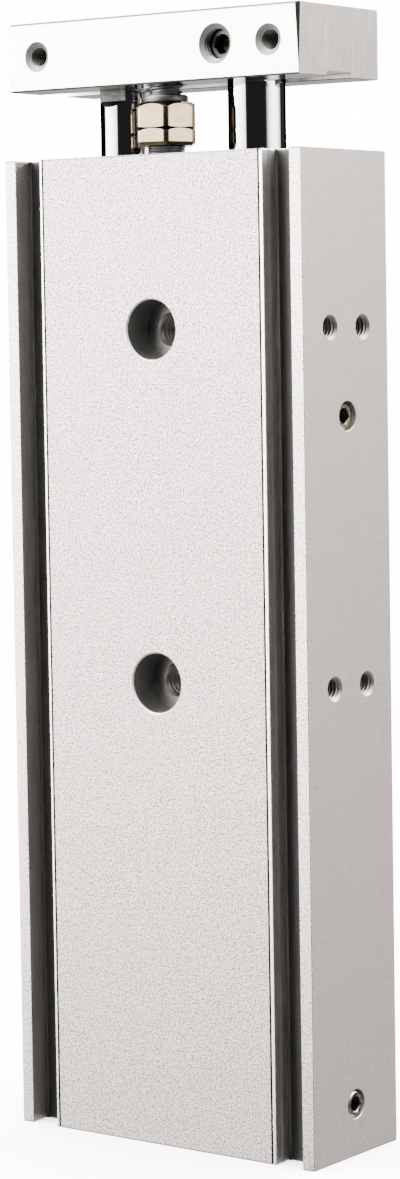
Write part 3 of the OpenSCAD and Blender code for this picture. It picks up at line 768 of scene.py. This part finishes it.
# hole of the stop bolt, its thread in step with the bolt's own
STEP = (176.0, 197.0)
DEEP = (173.0, 200.0)
tools.append(lathe("t", [(0, PZ0 - 1), (3.9, PZ0 - 1), (3.35, PZ0 + 0.9), (2.55, PZ0 + 1.7), (2.55, PZ1 - 0.8), (4.2, PZ1 + 0.9), (0, PZ1 + 0.9)],
                   64, place=at(0, STOP_Y, 0)))
threads.append(helix("t", 2.52, 3.05, 1.0, *DEEP, 48, place=at(0, STOP_Y, 0), cap=(DEEP[0] - 0.5, DEEP[1] + 0.5)))
cut(plate, tools)
cut(plate, threads)


def plate_rule(x, y, z, n):
    # front edge breaks and corner bevels are painted dark, painted shade
    if y < -PD + 0.45 and 0.2 < abs(n.z) < 0.95 and (z > PZ1 - 0.45 or z < PZ0 + 0.32):
        return 7
    if 0.2 < abs(n.x) < 0.97 and abs(n.y) > 0.2 and abs(x) > PW - 1.7 and y < -PD + 1.7:
        return 8
    if y < -PD + 0.01 or z > PZ1 - 0.01 or y > PD - 0.01:
        return 0
    # the ends take the sawn material, its dark tone painted shade
    if abs(x) > PW - 0.01:
        return 1
    # the underside takes the darker copy, painted shade
    if z < PZ0 + 0.02:
        return 2
    # holes of the plate: countersinks and threads take darker materials, painted shade
    if math.hypot(x - 0, y - STOP_Y) < 4.0 or math.hypot(abs(x) - 25, z - HOLE_Z) < 2.75 and abs(y) > 4 \
            or math.hypot(abs(x) - 25, y) < 3.6 or (math.hypot(x - XB, z - HOLE_Z) < 3.5 and y < -4.6):
        chamfer = abs(y) > PD - 0.75 and abs(n.y) > 0.3
        return 6 if chamfer else 3
    # the rod holes take the darker counterbore material, painted shade
    if math.hypot(abs(x) - 14, y) < 6.0:
        return 4
    if abs(y) < 3.72 and z < PZ0 + 0.95:
        return 5
    if z < PZ0 + 0.3:
        return 2
    if abs(x) > PW - 0.5:
        return 1
    return 0


painted(plate, [M_PLATE, M_PLATE_END_SHADE, M_PLATE_LOW_SHADE, M_THREAD_SHADE, M_SEAT_SHADE, M_CHANNEL, M_SINK_SHADE, M_EDGE_SHADE, M_BEVEL_SHADE], plate_rule)
piece(plate, "end_plate", "carriage", 26)


# ------------------------------------------------------------------ piston rods
def rod(name, x, top, bore_top):
    """A piston rod: spigot with its tapped end below, and above a plain end or one bored for a cap screw."""
    p = [(0, 19.5), (1.65, 20.2), (1.65, 12.5), (2.2, 12.0), (2.8, 12.0), (3.0, 12.2), (3.0, 22.5), (4.75, 22.5), (4.95, 22.6),
         (5.0, 22.75), (5.0, top - 0.4), (4.6, top)]
    p += [(3.15, top), (2.55, top - 0.6), (2.55, top - 14), (0, top - 15.4)] if bore_top else [(0, top)]
    ob = lathe(name, p, 128, place=at(x, 0, 0))
    # threads of the lower end, and of the upper one where it is bored
    cut(ob, [helix("t", 1.63, 2.02, 0.7, 10.8, 19.6, 32, place=at(x, 0, 0), cap=(10.5, 19.7))])
    if bore_top:
        cut(ob, [helix("t", 2.5, 3.03, 1.0, top - 13, top + 2, 40, place=at(x, 0, 0), cap=(top - 13.5, top + 2.4))])
    return ob


rod_a = rod("piston_rod_a_look", XA, PZ0 + 3.6, True)
flat_tools = []
for s in (0, 1):
    base = Matrix.Translation((XA, 0, PZ0)) @ Matrix.Rotation(math.radians(-5), 4, "Z")
    if s:
        base = base @ Matrix.Rotation(math.pi, 4, "Z")
    # the flat itself and the sloping run-out under it
    flat_tools.append(block(-9, 9, -10, -4.0, -1.9, 0.0, base))
    slope = base @ Matrix.Translation((0, -4.0, -1.9)) @ Matrix.Rotation(math.radians(48), 4, "X")
    flat_tools.append(block(-9, 9, -9, 0, 0, 1.3, slope))
for t in flat_tools:
    cut(rod_a, [t])


def rod_rule(x, y, z, n):
    # the rod's bored thread takes the dark thread material, painted shade
    if math.hypot(x - XA, y) < 3.25 and abs(n.z) < 0.9:
        return 1
    # flats, and the run-out under them in near-black painted shade
    if 180.0 < z < PZ0 + 0.02 and math.hypot(x - XA, y) < 4.985:
        return 2 if abs(n.z) < 0.2 else 3
    return 0


painted(rod_a, [M_ROD, M_THREAD_SHADE, M_FLAT, M_RUNOUT_SHADE], rod_rule)
piece(rod_a, "piston_rod_a", "carriage", 24)
rod_b = rod("piston_rod_b_look", XB, PZ1 - 1.5, False)
painted(rod_b, [M_ROD, M_THREAD_SHADE], lambda x, y, z, n: 1 if math.hypot(x - XB, y) < 2.2 else 0)
piece(rod_b, "piston_rod_b", "carriage", 24)


# ------------------------------------------------------------------ stop bolt, nut, washer and bumper
HEX_TURN = -53.0
RHEX = 5.0 / math.cos(math.radians(30))
HEAD0, HEAD1 = 173.5, 176.45
NUT0, NUT1 = 176.55, 181.0


def hex_solid(name, z0, z1, foot, top):
    """A rounded hexagon turned to a chamfer at each end. foot and top are (height, radius at the end face)."""
    rows = [(z0, 0), (z1, 0)] if foot else [(z0, 0.62), (z0 + 0.62, 0), (z1, 0)]
    ob = prism(name, hexagon(10.0, HEX_TURN, 1.25, 8), rows, place=at(0, STOP_Y, 0))
    r = RHEX + 0.05
    p = [(0, z0 - (0 if foot else 0.5))]
    if foot:
        p += [(foot[1], z0), (foot[1] + (r - foot[1]) * 0.5, z0 + foot[0] * 0.42), (r, z0 + foot[0])]
    else:
        p += [(r, z0 - 0.5)]
    p += [(r, z1 - top[0]), (top[1] + (r - top[1]) * 0.52, z1 - top[0] * 0.40), (top[1], z1 - 0.02), (top[1] - 0.05, z1), (0, z1)]
    body = lathe("t", p, 144, place=at(0, STOP_Y, 0))
    return joined(ob, [body], "INTERSECT")


bolt = hex_solid("stop_bolt_look", HEAD0, HEAD1, None, (0.75, 4.95))
cut(bolt, [lathe("t", [(0, HEAD0 - 1), (1.55, HEAD0 - 1), (1.55, HEAD0 + 1.3), (0, HEAD0 + 1.3)], 48, place=at(0, STOP_Y, 0))])
shank = helix("t", 2.42, 2.98, 1.0, *STEP, 48, place=at(0, STOP_Y, 0), cap=(HEAD0 + 2.2, STEP[1] + 0.3))
tip = lathe("t", [(0, HEAD0 + 2), (3.4, HEAD0 + 2), (3.4, 194.6), (2.3, 195.5), (0, 195.5)], 48, place=at(0, STOP_Y, 0))
joined(shank, [tip], "INTERSECT")
joined(bolt, [shank])


def bolt_rule(x, y, z, n):
    r = math.hypot(x, y - STOP_Y)
    # the threaded shank is painted dark, painted shade: darker still between washer and plate
    if z > HEAD1 + 0.02 or r < 3.1 and z > HEAD1 - 0.5:
        return 4 if z > 181.2 else 1
    # chamfers take dark copies of the nickel, painted shade: underside darkest, top chamfer dark
    if abs(n.z) > 0.2:
        return 2 if z < HEAD0 + 1 else 3
    return 0


painted(bolt, [M_NICKEL, M_BOLT_THREAD_SHADE, M_NICKEL_LOW_SHADE, M_NICKEL_CHAMFER_SHADE, M_SHANK_SHADE], bolt_rule)
piece(bolt, "stop_bolt", "bolt", 34)

nut = hex_solid("lock_nut_look", NUT0, NUT1, (0.26, 4.9), (1.30, 4.42))
cut(nut, [lathe("t", [(0, NUT0 - 1), (4.1, NUT0 - 1), (2.55, NUT0 + 0.5), (2.55, NUT1 - 0.5), (4.1, NUT1 + 1), (0, NUT1 + 1)], 64,
                place=at(0, STOP_Y, 0))])
cut(nut, [helix("t", 2.52, 3.05, 1.0, *DEEP, 48, place=at(0, STOP_Y, 0), cap=(DEEP[0] - 0.5, DEEP[1] + 0.5))])


def nut_rule(x, y, z, n):
    # the nut's bore takes the dark thread material, painted shade
    if math.hypot(x, y - STOP_Y) < 3.7 and abs(n.z) < 0.97:
        return 1
    # chamfers and end faces take the dark copy of the nickel, painted shade
    return 2 if abs(n.z) > 0.2 else 0


painted(nut, [M_NICKEL, M_BOLT_THREAD_SHADE, M_NICKEL_CHAMFER_SHADE], nut_rule)
piece(nut, "lock_nut", "nut", 34)

washer = lathe("lock_washer_look", [(3.25, 181.05), (3.72, 181.05), (3.82, 181.09), (3.85, 181.18), (3.85, 181.86), (3.81, 181.98),
                                    (3.56, 182.24), (3.46, 182.3), (3.3, 182.3), (3.08, 182.12), (3.08, 181.22)], 96,
               [M_GREY], at(0, STOP_Y, 0), closed=True)
piece(washer, "lock_washer", "washer", 40)

ribs = [(0, 172.06), (2.5, 172.06), (2.86, 172.10)]
for k in range(3):
    zc = 172.1 + 0.225 + 0.45 * k
    for i in range(-4, 5):
        w = math.radians(i * 22)
        ribs.append((3.05 + 0.24 * math.cos(w), zc + 0.222 * math.sin(w)))
ribs += [(2.9, 173.44), (1.62, 173.44), (1.5, 173.5), (1.5, 174.58), (1.42, 174.65), (0, 174.65)]
bumper = lathe("stop_bumper_look", ribs, 96, [M_TIP], at(0, STOP_Y, 0))
piece(bumper, "stop_bumper", "stop", 50)


# ------------------------------------------------------------------ set screws
def set_screw(name, r, pitch, length, socket, depth, place, mats, rim=0.5, cone=0.6):
    """A socket set screw along +Z that ends at z = 0, with a turned face round its hexagon."""
    ob = helix(name, r - pitch * 0.56, r, pitch, -length + 0.1, 0.9, 48, place=place, cap=(-length, 1.2))
    ends = lathe("t", [(0, -length), (r - cone, -length), (r + 0.1, -length + cone + 0.1), (r + 0.1, -rim - 0.1), (r - rim, 0), (0, 0)], 96, place=place)
    joined(ob, [ends], "INTERSECT")
    tools = [prism("t", hexagon(socket, 12.0), [(-depth, 0), (1, 0)], place=place)]
    rs = socket / 2
    tools.append(lathe("t", [(0, -depth - rs * 0.6), (rs * 0.96, -depth - 0.02), (rs * 0.96, -0.26), (rs * 1.18, 0.02), (rs * 1.7, 0.6), (0, 0.6)], 64, place=place))
    for t in tools:
        cut(ob, [t])
    inv = place.inverted()

    def rule(x, y, z, n):
        q = inv @ Vector((x, y, z))
        # the socket takes the near-black painted shade
        if math.hypot(q.x, q.y) < rs * 1.16 and q.z < -0.05:
            return 1
        return 0

    return painted(ob, mats, rule)


for node, z, sunk in (("port_plug_upper", 127.0, 0.7), ("port_plug_lower", 9.0, 0.15)):
    plug = set_screw(node + "_look", 2.46, 0.8, 4.4, 2.5, 2.3, at(HW - sunk, 0, z, "+X"), [M_NICKEL_PLUG, M_SOCKET_SHADE])
    piece(plug, node, "body", 32)
lock = set_screw("rod_lock_screw_look", 2.97, 1.0, 4.7, 3.0, 2.4, at(XB, -9.8, HOLE_Z, "-Y"), [M_BLACK, M_SOCKET_SHADE], 0.35)
piece(lock, "rod_lock_screw", "carriage", 32)

# ------------------------------------------------------------------ cap screw of rod A, with a knurled head
knurl = []
for i in range(48):
    for f, dr in ((0.0, 0.0), (0.28, 0.0), (0.5, -0.14), (0.78, -0.14)):
        a = 2 * math.pi * (i + f) / 48
        knurl.append(((5.0 + dr) * math.cos(a), (5.0 + dr) * math.sin(a)))
screw = prism("plate_cap_screw_look", knurl, [(189.92, 0), (195.72, 0)], place=at(XA, 0, 0))
shape = lathe("t", [(0, 189.9), (4.85, 189.92), (5.1, 190.1), (5.1, 195.0), (4.86, 195.3), (4.5, 195.62), (4.2, 195.7), (0, 195.7)], 96, place=at(XA, 0, 0))
joined(screw, [shape], "INTERSECT")
stem = helix("t", 2.42, 2.96, 1.0, 174.6, 190.4, 40, place=at(XA, 0, 0), cap=(175.2, 190.6))
joined(screw, [stem])
cut(screw, [prism("t", hexagon(5.0, 20.0), [(192.6, 0), (197, 0)], place=at(XA, 0, 0))])
cut(screw, [lathe("t", [(0, 191.9), (2.4, 192.6), (2.4, 195.4), (2.9, 195.72), (3.6, 196.4), (0, 196.4)], 64, place=at(XA, 0, 0))])
# the socket takes the near-black painted shade
painted(screw, [M_BLACK, M_SOCKET_SHADE], lambda x, y, z, n: 1 if math.hypot(x - XA, y) < 2.95 and z > 191 and z < 195.3 else 0)
piece(screw, "plate_cap_screw", "carriage", 30)

# ------------------------------------------------------------------ stage, light and camera
def floor():
    s = Shader("floor_pale", Base_Color=(0.97, 0.97, 0.97), Roughness=0.9)
    v = s.coords()
    n = s.noise(v, 0.02, 3.0, 0.5)
    s.color(s.mix(s.span(n, 0.3, 0.7, 0.0, 1.0), (0.965, 0.965, 0.965), (0.98, 0.98, 0.98)))
    ob = mesh_object("floor", [(-30, -30, 0), (30, -30, 0), (30, 30, 0), (-30, 30, 0)], [(0, 1, 2, 3)], [s.mat], 1.0)
    # the metal mirrors the studio's own dark and light fields, not the floor
    ob.visible_glossy = False
    return ob


floor()

world = bpy.data.worlds.new("studio")
bpy.context.scene.world = world
world.use_nodes = True
wn = world.node_tree
wn.nodes.clear()


def wnode(kind, **inputs):
    n = wn.nodes.new(kind)
    for k, v in inputs.items():
        s = n.inputs[k.replace("_", " ")]
        if isinstance(v, bpy.types.NodeSocket):
            wn.links.new(v, s)
        else:
            s.default_value = v
    return n


def wmath(op, a, b=0.0, c=0.0, clamp=False):
    n = wn.nodes.new("ShaderNodeMath")
    n.operation = op
    n.use_clamp = clamp
    for i, v in enumerate((a, b, c)):
        if isinstance(v, bpy.types.NodeSocket):
            wn.links.new(v, n.inputs[i])
        else:
            n.inputs[i].default_value = v
    return n.outputs[0]


def wstep(v, edge, soft):
    """0 below the edge, 1 above it, with a soft change."""
    n = wn.nodes.new("ShaderNodeMapRange")
    n.interpolation_type = "SMOOTHSTEP"
    wn.links.new(v, n.inputs["Value"])
    n.inputs["From Min"].default_value = edge - soft
    n.inputs["From Max"].default_value = edge + soft
    return n.outputs[0]


def wspan(v, lo, hi, a, b):
    n = wn.nodes.new("ShaderNodeMapRange")
    wn.links.new(v, n.inputs["Value"])
    for k, x in (("From Min", lo), ("From Max", hi), ("To Min", a), ("To Max", b)):
        n.inputs[k].default_value = x
    return n.outputs[0]


def panel(az, el, az0, az1, el0, el1, soft_az=2.0, soft_el=6.0):
    a = wmath("MULTIPLY", wstep(az, az0, soft_az), wmath("SUBTRACT", 1.0, wstep(az, az1, soft_az)))
    e = wmath("MULTIPLY", wstep(el, el0, soft_el), wmath("SUBTRACT", 1.0, wstep(el, el1, soft_el)))
    return wmath("MULTIPLY", a, e)


tc = wnode("ShaderNodeTexCoord")
sep = wnode("ShaderNodeSeparateXYZ", Vector=tc.outputs["Generated"])
# azimuth: 0 towards -Y, 90 towards +X; elevation above the horizon, both in degrees
azim = wmath("MULTIPLY", wmath("ARCTAN2", sep.outputs["X"], wmath("MULTIPLY", sep.outputs["Y"], -1.0)), 180 / math.pi)
elev = wmath("MULTIPLY", wmath("ARCSINE", sep.outputs["Z"]), 180 / math.pi)
# two tall soft boxes, brighter above eye level, with a dark band of studio between them
box_a = panel(azim, elev, -71, -11, -11.5, 65, 4.0, 4.0)
box_a = wmath("MULTIPLY", box_a, wspan(azim, -58, -10, 21.0, 6.5))
box_a = wmath("MULTIPLY", box_a, wspan(wstep(elev, 0, 5), 0, 1, 0.50, 1.0))
box_b = wmath("MULTIPLY", panel(azim, elev, 86, 130, -13, 65, 16.0, 4.0), wspan(wstep(elev, 1, 4), 0, 1, 5.0, 11.0))
rear = wmath("ADD", wmath("SUBTRACT", 1.0, wstep(azim, -116, 8)), wstep(azim, 155, 6), clamp=True)
above = wmath("ADD", wmath("SUBTRACT", 1.0, wstep(azim, -112, 8)), wstep(azim, 112, 10), clamp=True)
rear_up = wmath("MULTIPLY", above, wmath("MULTIPLY", wstep(elev, 16, 5), wmath("SUBTRACT", 1.0, wstep(elev, 65, 6))))
rear_low = wmath("MULTIPLY", rear, wmath("SUBTRACT", 1.0, wstep(elev, -22, 6)))
rear_mid = wmath("MULTIPLY", rear, wmath("SUBTRACT", 1.0, wstep(wmath("ABSOLUTE", elev, 0.0), 20, 6)))
fill = wmath("MULTIPLY", wstep(elev, 24, 8), wmath("SUBTRACT", 1.0, above))
low = wmath("SUBTRACT", 1.0, wstep(elev, -32, 10))
glow = wmath("ADD", box_a, box_b)
glow = wmath("ADD", glow, wmath("MULTIPLY", rear_up, 20.0))
glow = wmath("ADD", glow, wmath("MULTIPLY", rear_low, 1.6))
glow = wmath("ADD", glow, wmath("MULTIPLY", rear_mid, 0.6))
glow = wmath("ADD", glow, wmath("MULTIPLY", fill, 2.5))
glow = wmath("ADD", glow, wmath("MULTIPLY", low, 0.8))
glow = wmath("ADD", glow, 0.03)
shaped = wnode("ShaderNodeBackground", Strength=glow)
shaped.inputs["Color"].default_value = (1.0, 0.985, 0.965, 1.0)
plain = wnode("ShaderNodeBackground", Strength=16.0)
plain.inputs["Color"].default_value = (1.0, 1.0, 1.0, 1.0)
lp = wnode("ShaderNodeLightPath")
pick = wnode("ShaderNodeMixShader")
wn.links.new(lp.outputs["Is Glossy Ray"], pick.inputs[0])
wn.links.new(plain.outputs[0], pick.inputs[1])
wn.links.new(shaped.outputs[0], pick.inputs[2])
wout = wnode("ShaderNodeOutputWorld")
wn.links.new(pick.outputs[0], wout.inputs[0])
world.cycles.sampling_method = "NONE"

cam_data = bpy.data.cameras.new("camera")
cam = link(bpy.data.objects.new("camera", cam_data))
# solved from the edges and holes of the body
right_v = Vector((0.80932281, 0.58718211, -0.01462009))
down_v = Vector((0.02499238, -0.05929454, -0.99792762))
fwd_v = Vector((-0.58683214, 0.8072802, -0.06266351))
cam.matrix_world = Matrix((
    (right_v.x, -down_v.x, -fwd_v.x, 0.33749),
    (right_v.y, -down_v.y, -fwd_v.y, -0.44643),
    (right_v.z, -down_v.z, -fwd_v.z, 0.14426),
    (0, 0, 0, 1)))
cam_data.sensor_fit = "AUTO"
cam_data.sensor_width = 36.0
cam_data.lens = 3195.88 / 1179 * 36.0
cam_data.shift_x = (200.0 - 258.065) / 1179
cam_data.shift_y = (515.663 - 589.5) / 1179
cam_data.clip_start = 0.01
cam_data.clip_end = 100
bpy.context.scene.camera = cam
